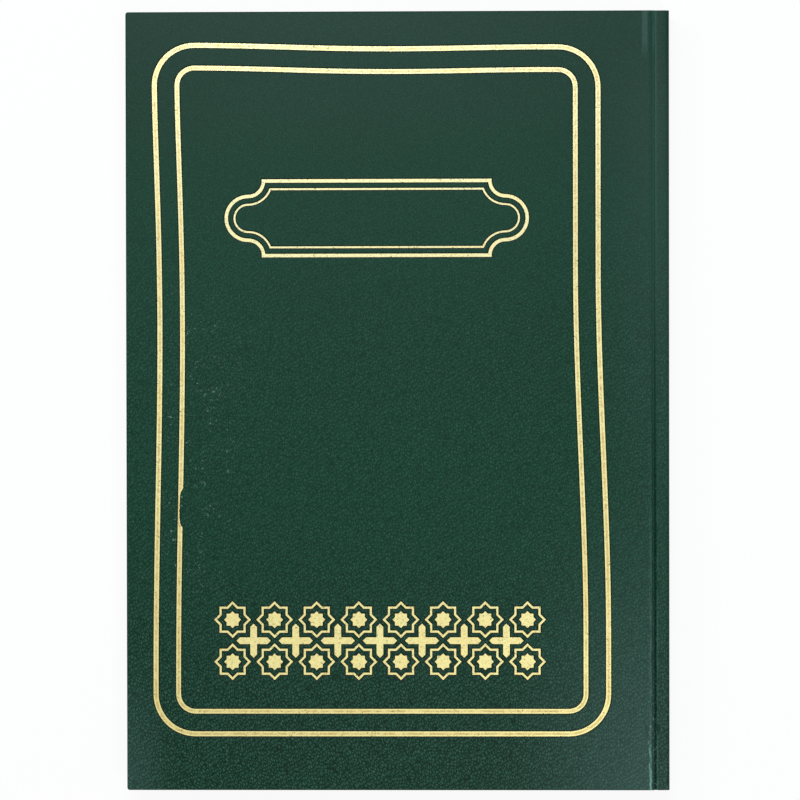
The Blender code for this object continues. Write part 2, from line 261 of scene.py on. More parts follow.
# Distances within which points count as one, and the least cosine by which a corner's mitre is divided
DRAWN_POINT = 1e-9
SAME_POINT = 1e-6
WELD = 2e-6
MITRE_LIMIT = 0.35


def height(side, value):
    """World Z of a height above the middle of the book, on the front (1) or the back (-1)."""
    return MIDDLE + side * value


def linear(red, green, blue):
    """A colour from 0 to 255 per channel, as the shader takes it."""
    out = []
    for value in (red, green, blue):
        c = value / 255
        out.append(c / 12.92 if c <= 0.04045 else ((c + 0.055) / 1.055) ** 2.4)
    return (*out, 1.0)


# Colours

GREENS = (linear(11, 59, 42), linear(15, 65, 48))
GREEN_TAIL = linear(8, 74, 52)
# painted sheen: a greyer green for the head
GREEN_HEAD_SHEEN = linear(18, 54, 43)
GRAIN_RIM = linear(3, 34, 21)
GRAIN_PIT = linear(2, 26, 16)
# painted highlights on the grain: on some pebbles and on the wrinkles' crowns
GRAIN_GLINT_PAINTED = linear(66, 100, 85)
GRAIN_CROWN_HIGHLIGHT = linear(80, 112, 100)
SPECK = linear(150, 176, 164)
# painted highlight, partly rubbing, for the groove's crests
RUBBED_AND_HIGHLIT = linear(86, 124, 114)
RUBBED_TAIL = linear(132, 188, 174)
# painted highlight for the head of the groove
HEAD_HIGHLIGHT = linear(74, 108, 98)
CHIPPED = linear(150, 182, 172)
# painted light that pales the groove
PALE_GROOVE = linear(44, 84, 70)
# painted sheen
SHEEN_GREEN = linear(88, 120, 114)
SHEEN_GREEN_SIDE = linear(92, 110, 110)
# painted shade for the foil's sunk rims, partly the real darkening that blocking leaves
PRESSED_RIM_SHADE = linear(8, 14, 3)
FOIL_TONES = (linear(220, 208, 138), linear(195, 189, 142))
# painted highlight for the foil
FOIL_HIGHLIGHT = linear(228, 220, 154)
FOIL_WARM = linear(214, 190, 116)
# painted shade for the middle of the foil's lines
FOIL_MIDDLE_SHADE = linear(168, 142, 80)
FOIL_PINHOLE = linear(40, 62, 36)
PAGE_TINTS = (linear(238, 234, 219), linear(244, 241, 229))
PAGE_FIBRE = linear(222, 216, 198)
ROW_INK = linear(128, 160, 178)
COLUMN_INK = linear(190, 92, 84)
EDGE_TINTS = (linear(172, 164, 145), linear(236, 231, 216))
EDGE_GREY = linear(196, 188, 168)
ENDPAPER_TINTS = (linear(236, 230, 213), linear(244, 240, 227))
ENDPAPER_FIBRE = linear(220, 211, 190)
BOARD_TINTS = (linear(128, 122, 112), linear(168, 160, 148))
KRAFT_TINTS = (linear(150, 112, 74), linear(182, 142, 100))
MULL_TINTS = (linear(150, 138, 112), linear(222, 214, 194))
BAND_TINTS = (linear(176, 168, 148), linear(236, 230, 214))
THREAD_TINTS = (linear(180, 170, 146), linear(232, 226, 208))


# Materials


class Nodes:
    """Short calls for the nodes of one material."""

    def __init__(self, name):
        self.material = bpy.data.materials.new(name)
        self.material.use_nodes = True
        self.tree = self.material.node_tree
        self.shader = self.tree.nodes["Principled BSDF"]

    def add(self, kind, settings=None, **inputs):
        made = self.tree.nodes.new(kind)
        for key, value in (settings or {}).items():
            setattr(made, key, value)
        for key, value in inputs.items():
            self.put(made.inputs[key], value)
        return made

    def put(self, socket, value):
        if isinstance(value, bpy.types.NodeSocket):
            self.tree.links.new(value, socket)
        else:
            socket.default_value = value

    def set(self, name, value):
        self.put(self.shader.inputs[name], value)

    def attribute(self, name, output):
        return self.add("ShaderNodeAttribute", {"attribute_name": name}).outputs[output]

    def rest(self):
        """Where a point lies at rest, in metres, whatever the pose."""
        return self.attribute("rest", "Vector")

    def place(self):
        return self.add("ShaderNodeTexCoord").outputs["Object"]

    def axes(self, vector):
        """The X, Y and Z of a vector."""
        return self.add("ShaderNodeSeparateXYZ", Vector=vector).outputs

    def scaled(self, vector, scale):
        made = self.add("ShaderNodeVectorMath", {"operation": "MULTIPLY"})
        self.put(made.inputs[0], vector)
        self.put(made.inputs[1], scale)
        return made.outputs[0]

    def noise(self, vector, scale, detail=2.0, rough=0.5):
        made = self.add("ShaderNodeTexNoise", Vector=vector, Scale=scale, Detail=detail, Roughness=rough)
        return made.outputs["Fac"]

    def to_edge(self, vector, scale, randomness=1.0):
        """How far a point lies from the edges between cells."""
        made = self.add("ShaderNodeTexVoronoi", {"feature": "DISTANCE_TO_EDGE"}, Vector=vector, Scale=scale,
                        Randomness=randomness)
        return made.outputs["Distance"]

    def math(self, operation, a, b=0.0):
        made = self.add("ShaderNodeMath", {"operation": operation})
        self.put(made.inputs[0], a)
        self.put(made.inputs[1], b)
        return made.outputs[0]

    def times(self, *values):
        """The product of all the values."""
        total = values[0]
        for value in values[1:]:
            total = self.math("MULTIPLY", total, value)
        return total

    def ramp(self, value, low, high, a=0.0, b=1.0):
        """A smooth step of value from low to high, as numbers from a to b."""
        made = self.add("ShaderNodeMapRange", {"interpolation_type": "SMOOTHSTEP"})
        self.put(made.inputs["Value"], value)
        made.inputs["From Min"].default_value = low
        made.inputs["From Max"].default_value = high
        made.inputs["To Min"].default_value = a
        made.inputs["To Max"].default_value = b
        return made.outputs["Result"]

    def window(self, axis, span, soft):
        """1 inside a span of one axis, 0 outside it, with soft ends."""
        low, high = span
        rise = self.ramp(axis, low - soft, low + soft)
        fall = self.ramp(axis, high - soft, high + soft, 1.0, 0.0)
        return self.times(rise, fall)

    def mix(self, share, a, b):
        made = self.add("ShaderNodeMix", {"data_type": "RGBA"})
        self.put(made.inputs["Factor"], share)
        self.put(made.inputs["A"], a)
        self.put(made.inputs["B"], b)
        return made.outputs["Result"]

    def bump(self, value, strength, distance):
        made = self.add("ShaderNodeBump", Height=value, Strength=strength, Distance=distance)
        self.put(self.shader.inputs["Normal"], made.outputs["Normal"])


def leatherette(name, worn):
    """Grained green leatherette; the worn one has the marks of the front cover and its joint, with painted
    highlights, sheen and shade among them.
    """
    n = Nodes(name)
    rest = n.rest()
    y = n.axes(rest)["Y"]
    grain = swirled(n, rest)
    fine = n.noise(rest, 2400.0, 3.0, 0.6)
    pebble = n.ramp(n.to_edge(grain, PEBBLES), 0.0, 0.28)
    broad = n.noise(rest, 11.0, 2.0, 0.5)
    colour = n.mix(n.ramp(broad, 0.3, 0.7), *GREENS)
    colour = n.mix(n.ramp(y, *TAIL_TINT_FADE, 0.0, 0.6), colour, GREEN_TAIL)
    # painted sheen: the green turns greyer toward the head
    colour = n.mix(n.ramp(y, *HEAD_TINT_FADE, 0.0, 0.5), colour, GREEN_HEAD_SHEEN)
    colour = pebbled(n, grain, pebble, fine, y, colour)
    colour = wrinkled(n, grain, y, colour)
    if worn:
        colour = scuffed_and_painted_light(n, rest, colour)
    n.set("Base Color", colour)
    dull = n.math("SUBTRACT", fine, n.times(pebble, 0.5))
    n.set("Roughness", n.ramp(dull, -0.1, 0.6, 0.38, 0.55))
    n.set("Specular IOR Level", 0.02)
    n.set("Coat Weight", 0.16)
    n.set("Coat Roughness", 0.37)
    n.bump(n.math("ADD", pebble, n.times(fine, 0.4)), strength=0.4, distance=0.00016)
    return n.material


def swirled(n, rest):
    """Places bent by a fine noise, so that the grain has no straight lines."""
    swirl = n.add("ShaderNodeTexNoise", Vector=rest, Scale=SWIRLS, Detail=2.0)
    bent = n.add("ShaderNodeVectorMath", {"operation": "MULTIPLY_ADD"})
    n.put(bent.inputs[0], swirl.outputs["Color"])
    n.put(bent.inputs[1], (SWIRL_REACH, SWIRL_REACH, SWIRL_REACH))
    n.put(bent.inputs[2], rest)
    return bent.outputs[0]


def pebbled(n, grain, pebble, fine, y, colour):
    """Dark rims round the pebbles; some are pits and some get a painted highlight, more of them to the
    tail.
    """
    colour = n.mix(n.ramp(pebble, 0.0, 1.0, 0.62, 0.0), colour, GRAIN_RIM)
    cells = n.add("ShaderNodeTexVoronoi", Vector=grain, Scale=PEBBLES)
    chance = n.add("ShaderNodeSeparateColor", Color=cells.outputs["Color"]).outputs
    toward_tail = n.ramp(y, *PEBBLE_FADE, 0.2, 1.0)
    pit = n.times(n.ramp(chance["Green"], 0.55, 0.9), toward_tail, 0.35)
    colour = n.mix(pit, colour, GRAIN_PIT)
    # painted highlight: some pebbles tinted as if they catch the light
    painted_glint = n.times(n.ramp(chance["Red"], 0.4, 0.95), n.ramp(fine, 0.36, 0.58), toward_tail, pebble, 0.25)
    return n.mix(painted_glint, colour, GRAIN_GLINT_PAINTED)


def wrinkled(n, grain, y, colour):
    """Wrinkles drawn out along a diagonal, none at the head and the deepest at the tail, with a painted
    highlight on their crowns.
    """
    drawn = n.add("ShaderNodeMapping", {"vector_type": "TEXTURE"}, Vector=grain,
                  Rotation=(0.0, 0.0, WRINKLE_TURN), Scale=WRINKLE_STRETCH)
    edge = n.to_edge(drawn.outputs[0], WRINKLES, 0.8)
    upper, lower = (n.ramp(y, *fade, 0.0, 0.5) for fade in WRINKLE_FADES)
    depth = n.math("ADD", upper, lower)
    valley = n.times(n.ramp(edge, 0.0, 0.2, 0.95, 0.0), depth)
    colour = n.mix(valley, colour, GRAIN_PIT)
    # painted highlight on the wrinkles' crowns
    crown_highlight = n.times(n.ramp(edge, 0.1, 0.4, 0.0, 0.36), depth)
    return n.mix(crown_highlight, colour, GRAIN_CROWN_HIGHLIGHT)


def scuffed_and_painted_light(n, rest, clean):
    """Marks of use on the outside of the front, with painted highlights and sheen among them, and painted
    shade in the pressed rims of the foil.
    """
    x, y, z = n.axes(rest)
    colour = specked(n, rest, x, y, clean)
    colour = rubbed_and_highlit_tail(n, rest, x, y, colour)
    colour = painted_head_light(n, rest, x, y, colour)
    colour = painted_sheen(n, x, y, colour)
    colour = n.mix(n.ramp(z, *OUTSIDE_Z), clean, colour)
    # painted shade in the foil's sunk rims, partly the real darkening that blocking leaves
    pressed_shade = n.attribute("pressed_shade", "Fac")
    return n.mix(n.ramp(pressed_shade, 0.0, 0.32, 0.0, 0.96), colour, PRESSED_RIM_SHADE)


def specked(n, rest, x, y, colour):
    """Pale specks left of the middle."""
    area = n.times(n.window(x, SPECKS_X, soft=0.010), n.window(y, SPECKS_Y, soft=0.02))
    speck = n.ramp(n.noise(rest, 900.0, 3.0, 0.65), 0.6, 0.7)
    cloud = n.ramp(n.noise(rest, 120.0, 2.0), 0.46, 0.6)
    return n.mix(n.times(area, speck, cloud, 0.6), colour, SPECK)


def streaks(n, rest):
    """Noise drawn out along the joint."""
    return n.noise(n.scaled(rest, (900.0, 160.0, 900.0)), 1.0, 3.0, 0.6)


def rubbed_and_highlit_tail(n, rest, x, y, colour):
    """Rubbed edges with a painted highlight on both crests of the groove, then a wandering crease and chips
    at the tail.
    """
    streak = streaks(n, rest)
    # painted highlight, partly rubbing, along both crests of the groove
    spine_crest = n.times(n.window(x, SPINE_CREST_X, soft=0.0003), 0.9)
    crests = n.math("ADD", n.window(x, BOARD_CREST_X, soft=0.0005), spine_crest)
    line = n.times(crests, n.ramp(y, *CREST_FADE), n.ramp(streak, 0.3, 0.6), 0.5)
    colour = n.mix(line, colour, RUBBED_AND_HIGHLIT)
    wander = n.math("SUBTRACT", n.noise(n.scaled(rest, (0.0, 320.0, 0.0)), 1.0, 3.0, 0.6), 0.5)
    crease = n.window(n.math("ADD", x, n.times(wander, CREASE_WANDER)), CREASE_X, soft=0.0004)
    crease = n.times(crease, n.ramp(y, *CREASE_FADE), n.ramp(streak, 0.36, 0.56, 0.3, 1.0), 0.85)
    colour = n.mix(crease, colour, RUBBED_TAIL)
    chips = n.ramp(n.noise(rest, 1300.0, 2.0), 0.64, 0.7)
    chips = n.times(chips, n.window(x, CHIPS_X, soft=0.0006), n.ramp(y, *CHIPS_FADE), 0.7)
    return n.mix(chips, colour, CHIPPED)


def painted_head_light(n, rest, x, y, colour):
    """Painted highlights beside the groove and in it at the head, and painted light that pales the groove's
    upper half.
    """
    # painted highlights at the head
    lines = n.math("ADD", n.window(x, HEAD_BOARD_X, soft=0.0004), n.window(x, HEAD_GROOVE_X, soft=0.0004))
    lines = n.times(lines, n.ramp(y, *HEAD_FADE), n.ramp(streaks(n, rest), 0.3, 0.55, 0.35, 1.0), 0.3)
    colour = n.mix(lines, colour, HEAD_HIGHLIGHT)
    # painted light: the groove's shade lifted toward the head
    pale = n.times(n.window(x, PALE_GROOVE_X, soft=0.0005), n.ramp(y, *PALE_GROOVE_FADE), 0.4)
    return n.mix(pale, colour, PALE_GROOVE)


def painted_sheen(n, x, y, colour):
    """Painted sheen: a paler, greyer green at both corners of the tail and, more faintly, along the side of
    the spine.
    """
    across, along = RIGHT_CORNER_FADES
    right = n.times(n.ramp(x, *across), n.ramp(y, *along), n.ramp(x, *RIGHT_CORNER_END, 1.0, 0.25), 0.24)
    colour = n.mix(right, colour, SHEEN_GREEN)
    across, along = SPINE_SIDE_FADES
    side = n.times(n.ramp(x, *across), n.ramp(y, *along), n.ramp(y, *SPINE_SIDE_END, 1.0, 0.2), 0.09)
    colour = n.mix(side, colour, SHEEN_GREEN_SIDE)
    across, along = LEFT_CORNER_FADES
    left = n.times(n.ramp(x, *across), n.ramp(y, *along), 0.18)
    return n.mix(left, colour, SHEEN_GREEN)


def gold_foil():
    """Blocked foil: pale gold, with a painted highlight across the middle of the cover, painted shade down
    the middle of the border's lines, and pinholes where the grain shows through.
    """
    n = Nodes("gold_foil")
    rest = n.rest()
    y = n.axes(rest)["Y"]
    tone = n.mix(n.ramp(y, *FOIL_TONE_FADE), *FOIL_TONES)
    # painted highlight: paler foil across the middle of the cover
    tone = n.mix(n.times(n.window(y, FOIL_HIGHLIGHT_Y, soft=0.03), 0.5), tone, FOIL_HIGHLIGHT)
    tone = n.mix(n.ramp(n.noise(rest, 60.0, 3.0), 0.4, 0.7, 0.0, 0.3), tone, FOIL_WARM)
    broken = n.ramp(n.noise(rest, 520.0, 3.0, 0.6), 0.36, 0.6, 0.25, 0.75)
    # painted shade down the middle of the border's lines, standing in for edges that catch more light
    middle_shade = n.times(n.ramp(n.attribute("middle", "Fac"), 0.3, 0.85), broken)
    tone = n.mix(middle_shade, tone, FOIL_MIDDLE_SHADE)
    pin = n.ramp(n.noise(rest, 1700.0, 2.0, 0.6), 0.61, 0.69)
    n.set("Base Color", n.mix(n.times(pin, 0.75), tone, FOIL_PINHOLE))
    n.set("Metallic", n.ramp(pin, 0.0, 1.0, 0.5, 0.1))
    n.set("Roughness", n.ramp(n.noise(rest, 800.0, 2.0), 0.3, 0.7, 0.3, 0.42))
    n.bump(n.noise(rest, 1100.0, 2.0, 0.5), strength=0.25, distance=0.0001)
    return n.material


def page_faces():
    """Ledger paper with a plain ruling of rows and columns."""
    n = Nodes("ledger_page")
    rest = n.rest()
    axes = n.axes(rest)
    x, y = axes["X"], axes["Y"]
    tint = n.mix(n.ramp(n.noise(rest, 35.0, 3.0), 0.3, 0.7), *PAGE_TINTS)
    fibre = n.noise(n.scaled(rest, (900.0, 380.0, 900.0)), 1.0, 3.0, 0.6)
    tint = n.mix(n.ramp(fibre, 0.55, 0.8, 0.0, 0.25), tint, PAGE_FIBRE)
    row = n.math("PINGPONG", n.math("ADD", y, ROW_SHIFT), ROW_STEP / 2)
    rows = n.math("LESS_THAN", row, ROW_HALF_LINE)
    rows = n.times(rows, n.window(y, ROWS_Y, soft=RULE_SOFT), n.window(x, ROWS_X, soft=RULE_SOFT), 0.55)
    tint = n.mix(rows, tint, ROW_INK)
    columns = 0.0
    for place in COLUMNS:
        away = n.math("ABSOLUTE", n.math("SUBTRACT", x, place))
        columns = n.math("MAXIMUM", n.math("LESS_THAN", away, COLUMN_HALF_LINE), columns)
    tint = n.mix(n.times(columns, n.window(y, COLUMNS_Y, soft=RULE_SOFT), 0.6), tint, COLUMN_INK)
    n.set("Base Color", tint)
    n.set("Roughness", 0.78)
    n.set("Specular IOR Level", 0.25)
    n.bump(fibre, strength=0.15, distance=0.00006)
    return n.material


def page_edges():
    """Cut edges of the leaves: thin lines from leaf to leaf, a little uneven and grey."""
    n = Nodes("page_edges")
    rest = n.rest()
    lines = n.noise(n.scaled(rest, (26.0, 26.0, 5200.0)), 1.0, 2.0, 0.7)
    wide = n.noise(n.scaled(rest, (9.0, 9.0, 900.0)), 1.0, 2.0, 0.6)
    tint = n.mix(n.ramp(lines, 0.32, 0.62), *EDGE_TINTS)
    n.set("Base Color", n.mix(n.ramp(wide, 0.3, 0.55, 0.45, 0.0), tint, EDGE_GREY))
    n.set("Roughness", 0.85)
    n.set("Specular IOR Level", 0.2)
    n.bump(lines, strength=0.5, distance=0.00012)
    return n.material


def endpaper(name, solid=False):
    """Plain cream endpaper with a faint fibre, for a sheet that bends or for a solid."""
    n = Nodes(name)
    place = n.place() if solid else n.rest()
    fibre = n.noise(n.scaled(place, (700.0, 1500.0, 700.0)), 1.0, 3.0, 0.65)
    tint = n.mix(n.ramp(n.noise(place, 28.0, 3.0), 0.3, 0.7), *ENDPAPER_TINTS)
    n.set("Base Color", n.mix(n.ramp(fibre, 0.5, 0.8, 0.0, 0.3), tint, ENDPAPER_FIBRE))
    n.set("Roughness", 0.75)
    n.set("Specular IOR Level", 0.25)
    n.bump(fibre, strength=0.2, distance=0.00006)
    return n.material


def greyboard():
    """Grey pulp board with flecks."""
    n = Nodes("greyboard")
    flecks = n.noise(n.place(), 700.0, 4.0, 0.7)
    n.set("Base Color", n.mix(n.ramp(flecks, 0.35, 0.7), *BOARD_TINTS))
    n.set("Roughness", 0.9)
    n.bump(flecks, strength=0.3, distance=0.0001)
    return n.material


def cloth(name, tints, step):
    """Woven cotton: threads along and across, with a step between them in metres."""
    n = Nodes(name)
    axes = n.axes(n.place())
    along, across = (n.math("SINE", n.times(axes[axis], math.tau / step)) for axis in ("Z", "Y"))
    weave = n.times(along, across)
    n.set("Base Color", n.mix(n.ramp(weave, -0.6, 0.6), *tints))
    n.set("Roughness", 0.88)
    n.bump(weave, strength=0.5, distance=0.0001)
    return n.material


def kraft():
    """Brown lining paper with fibres."""
    n = Nodes("kraft_lining")
    fibre = n.noise(n.scaled(n.place(), (900.0, 300.0, 1400.0)), 1.0, 4.0, 0.6)
    n.set("Base Color", n.mix(n.ramp(fibre, 0.35, 0.7), *KRAFT_TINTS))
    n.set("Roughness", 0.85)
    n.bump(fibre, strength=0.2, distance=0.00008)
    return n.material


# Mesh helpers


def piece(name, mesh, materials, smooth=None):
    """An object from a bmesh in world coordinates, which keeps its rest places for its material."""
    data = bpy.data.meshes.new(name)
    mesh.to_mesh(data)
    mesh.free()
    for material in materials:
        data.materials.append(material)
    kept = data.attributes.new("rest", "FLOAT_VECTOR", "POINT")
    places = np.zeros(len(data.vertices) * 3, np.float32)
    data.vertices.foreach_get("co", places)
    kept.data.foreach_set("vector", places)
    if smooth is not None:
        data.shade_smooth()
        data.set_sharp_from_angle(angle=math.radians(smooth))
    made = bpy.data.objects.new(name, data)
    bpy.context.scene.collection.objects.link(made)
    return made


def bridge(mesh, rings):
    """Faces between rings with as many vertices each."""
    for low, high in zip(rings, rings[1:]):
        for i in range(len(low)):
            j = (i + 1) % len(low)
            mesh.faces.new((low[i], low[j], high[j], high[i]))


def lofted(places):
    """A closed mesh through rings of places with as many points each."""
    mesh = bmesh.new()
    rings = [[mesh.verts.new(place) for place in ring] for ring in places]
    bridge(mesh, rings)
    mesh.faces.new(rings[0][::-1])
    mesh.faces.new(rings[-1])
    bmesh.ops.recalc_face_normals(mesh, faces=mesh.faces)
    return mesh


def extruded(outline, stations):
    """A closed (x, z) outline carried along Y through the given stations, with capped ends."""
    return lofted([[(x, y, z) for x, z in outline] for y in stations])


def ribbon(line, thickness):
    """The closed outline of a strip of even thickness about an open line."""
    left, right = [], []
    for i, point in enumerate(line):
        along = Vector(line[min(i + 1, len(line) - 1)]) - Vector(line[max(i - 1, 0)])
        along.normalize()
        across = Vector((-along.y, along.x)) * thickness / 2
        left.append(tuple(Vector(point) + across))
        right.append(tuple(Vector(point) - across))
    return left + right[::-1]


def arc(centre, radius, start, end, steps):
    """Points on an arc from a start to an end in degrees."""
    angles = [math.radians(start + (end - start) * i / steps) for i in range(steps + 1)]
    return [(centre[0] + radius * math.cos(a), centre[1] + radius * math.sin(a)) for a in angles]


def eased(t, low, high):
    """A smooth step from 0 to 1 as t goes from low to high."""
    u = min(max((t - low) / (high - low), 0.0), 1.0)
    return u * u * (3 - 2 * u)


def with_next(loop):
    """Each item of a closed round, with the one after it."""
    return zip(loop, loop[1:] + loop[:1])


def area_of(loop):
    """The area inside a closed loop, below 0 where it runs clockwise."""
    return sum(a[0] * b[1] - b[0] * a[1] for a, b in with_next(loop)) / 2


def grown(loop, distance):
    """A closed loop, moved outwards by a distance, with its corners mitred."""
    loop = loop if area_of(loop) > 0 else loop[::-1]
    out = []
    for before, (here, after) in zip(loop[-1:] + loop[:-1], with_next(loop)):
        a = (Vector(here) - Vector(before)).normalized()
        b = (Vector(after) - Vector(here)).normalized()
        normal_a, normal_b = Vector((a.y, -a.x)), Vector((b.y, -b.x))
        middle = (normal_a + normal_b).normalized()
        reach = distance / max(middle.dot(normal_a), MITRE_LIMIT)
        out.append(tuple(Vector(here) + middle * reach))
    return out


def inside(points, loop):
    """Which of the points lie inside a closed loop."""
    x, y = points[:, 0], points[:, 1]
    hit = np.zeros(len(points), bool)
    ax, ay = loop[-1]
    for bx, by in loop:
        crosses = (ay > y) != (by > y)
        with np.errstate(divide="ignore", invalid="ignore"):
            at = (bx - ax) * (y - ay) / (by - ay) + ax
        hit ^= crosses & (x < at)
        ax, ay = bx, by
    return hit


# Foil design on the front cover; an area of foil is a list of loops, its outside and then its hole


def foil_line(loop, width):
    """The area of a line of foil along a closed loop."""
    return [grown(loop, width / 2), grown(loop, -width / 2)]


def border():
    """The border's outer line: a round-cornered frame whose sides bow in a little."""
    signs = ((1, 1), (-1, 1), (-1, -1), (1, -1))
    arcs = []
    for number, ((x, y), (sx, sy)) in enumerate(zip(BORDER_CORNERS, signs)):
        centre = (x - sx * BORDER_RADIUS, y - sy * BORDER_RADIUS)
        arcs.append(arc(centre, BORDER_RADIUS, 90 * number, 90 * number + 90, 14))
    lean = BORDER_CORNERS[3][0] - BORDER_CORNERS[0][0]
    loop = []
    steps = 40
    for (here, after), bow, middle in zip(with_next(arcs), BORDER_BOW, BOW_MIDDLE):
        loop += here
        start, way = Vector(here[-1]), Vector(after[0]) - Vector(here[-1])
        inward = Vector((-way.y, way.x)).normalized()
        skew = math.log(0.5) / math.log(middle)
        for i in range(1, steps):
            t = i / steps
            aside = bow * math.sin(math.pi * t ** skew) ** 2
            if here is arcs[3]:
                aside += lean * (eased(t, *BORDER_LEAN) - t)
            loop.append(tuple(start + way * t + inward * aside))
    return loop


def flaked(loop, depth, rough):
    """A loop of the inner line, drawn aside on its left by up to a depth where the foil has flaked away."""
    rng = random.Random(FLAKE_SEED)
    out = []
    for (ax, ay), (bx, by) in with_next(loop):
        worn = ax < 0 and bx < 0 and abs((ay + by) / 2 - FLAKE_Y) < FLAKE_HALF + abs(by - ay)
        steps = FLAKE_STEPS if worn else 1
        for i in range(steps):
            x = ax + (bx - ax) * i / steps
            y = ay + (by - ay) * i / steps
            away = abs(y - FLAKE_Y) / FLAKE_HALF
            if worn and away < 1:
                x -= depth * (1 - away ** 6) * rng.uniform(1 - rough, 1.0)
            out.append((x, y))
    return out


def border_areas():
    """The border's two lines, the inner one flaked, and the middles of both."""
    outer = border()
    inner = grown(outer, -BORDER_STEP)
    areas = [foil_line(outer, BORDER_LINES[0]), foil_line(inner, BORDER_LINES[1])]
    areas[1][1] = flaked(areas[1][1], FLAKE_DEPTH, FLAKE_ROUGH)
    return areas, [outer, flaked(inner, FLAKE_DEPTH / 2, 0.0)]


def panel(inset):
    """A long panel with round notches at its corners and half-round ends, at an inset from its line."""
    cx, cy = PANEL_CENTRE
    width, half = PANEL_HALF
    lobe = half - PANEL_NOTCH
    end = width - lobe
    bite = PANEL_NOTCH + inset
    loop = []
    for side in (1, -1):
        notch = arc((end, half), bite, 270, 180 + math.degrees(math.asin(inset / bite)), 10)
        tip = arc((end, 0.0), lobe - inset, 0, 90, 16)
        quarter = tip + notch[1:]
        mirrored = [(-x, y) for x, y in reversed(quarter)]
        loop += [(cx + side * x, cy + side * y) for x, y in (quarter + mirrored)[:-1]]
    return loop


def panel_areas():
    """The panel's two lines."""
    areas = []
    for inset, width in zip((0.0, PANEL_STEP), PANEL_LINES):
        areas.append([panel(inset - width / 2), panel(inset + width / 2)])
    return areas


def star_points(centre, radius, numbers):
    """Some of the sixteen points of an eight-point star, by number; the odd ones are its notches."""
    loop = []
    for number in numbers:
        size = radius * STAR_NOTCH if number % 2 else radius
        angle = math.tau * number / 16
        loop.append((centre[0] + size * math.cos(angle), centre[1] + size * math.sin(angle)))
    return loop


def pointed_cross(cx, cy):
    """The cross that four neighbouring eight-point stars leave between them, less a gap."""
    radius = BAND_PITCH / 2
    loop = []
    for sx, sy, first in ((1, 1, 12), (-1, 1, 16), (-1, -1, 4), (1, -1, 8)):
        loop += star_points((cx + sx * radius, cy + sy * radius), radius, range(first, first - 5, -1))
    clean = [a for a, b in with_next(loop) if (Vector(a) - Vector(b)).length > SAME_POINT]
    return grown(clean, -CROSS_GAP)


def band_areas():
    """Rows of eight-point stars with a smaller star in each, and the crosses between the rows."""
    cx, cy = BAND_CENTRE
    areas = []
    for row in range(BAND_ROWS):
        for column in range(BAND_COLUMNS):
            x = cx + (column - (BAND_COLUMNS - 1) / 2) * BAND_PITCH
            y = cy + (row - (BAND_ROWS - 1) / 2) * BAND_PITCH
            areas.append(foil_line(star_points((x, y), STAR_RADIUS, range(16)), STAR_LINE))
            areas.append([star_points((x, y), STAR_CORE, range(16))])
    for column in range(BAND_COLUMNS - 1):
        x = cx + (column - (BAND_COLUMNS - 2) / 2) * BAND_PITCH
        areas.append([pointed_cross(x, cy)])
    return areas


def foil_design():
    """All areas of foil, and the middles of the border's lines, where the foil gets a painted shade."""
    areas, middles = border_areas()
    return areas + panel_areas() + band_areas(), middles


# Covers


def plan_loop(inset, corner):
    """The cover's outline, seen from above, at an inset from its edge."""
    fore, tail = Vector((FORE_X + inset, -HALF + inset))
    near, head = Vector((NEAR_X - inset * JOINT_ROUND / EDGE_ROUND, HALF - inset))
    corners = ((near, head, 1, 1), (fore, head, -1, 1), (fore, tail, -1, -1), (near, tail, 1, -1))
    loop = []
    for number, (x, y, sx, sy) in enumerate(corners):
        radius = corner if sx < 0 else corner * JOINT_CORNER
        loop += arc((x - sx * radius, y - sy * radius), radius, 90 * number, 90 * number + 90, 4)
    return loop


def face_plan(areas, middles, face_z, sunk_z):
    """A cover's face in triangles along the foil's loops: places, faces, and which lie on a middle."""
    points, edges, levels = [], [], []

    def loop_in(loop, z):
        first = len(points)
        points.extend(Vector(p) for p in loop)
        levels.extend([z] * len(loop))
        edges.extend((first + i, first + (i + 1) % len(loop)) for i in range(len(loop)))

    loop_in(plan_loop(EDGE_ROUND, PLAN_CORNER), face_z)
    for loops in areas:
        for i, loop in enumerate(loops):
            loop_in(loop, sunk_z)
            loop_in(grown(loop, -FOIL_SLOPE if i else FOIL_SLOPE), face_z)
    first_middle = len(points)
    for loop in middles:
        loop_in(loop, sunk_z)
    flat, _, faces, origins, _, _ = geometry.delaunay_2d_cdt(points, edges, [], 0, DRAWN_POINT)
    places = [(p[0], p[1], levels[o[0]] if o else face_z) for p, o in zip(flat, origins)]
    on_middle = [bool(o) and o[0] >= first_middle for o in origins]
    return places, faces, on_middle


def golden(places, faces, areas):
    """Which faces are foil: those inside an odd number of the foil's loops."""
    centres = np.array([[sum(places[i][k] for i in face) / 3 for k in (0, 1)] for face in faces])
    gold = np.zeros(len(faces), bool)
    for loops in areas:
        for loop in loops:
            gold ^= inside(centres, loop)
    return gold


def cover_face(skin, foil, areas, middles, levels):
    """The face of a cover, part of it leatherette and part of it foil."""
    places, faces, on_middle = face_plan(areas, middles, *levels)
    # the middles of the border's lines are marked for the foil's painted shade
    middle = foil.verts.layers.float.new("middle")
    in_skin, in_foil = {}, {}
    for face, gold in zip(faces, golden(places, faces, areas)):
        mesh, made = (foil, in_foil) if gold else (skin, in_skin)
        for i in face:
            if i not in made:
                made[i] = mesh.verts.new(places[i])
                if gold and on_middle[i]:
                    made[i][middle] = 1.0
        mesh.faces.new([made[i] for i in face])


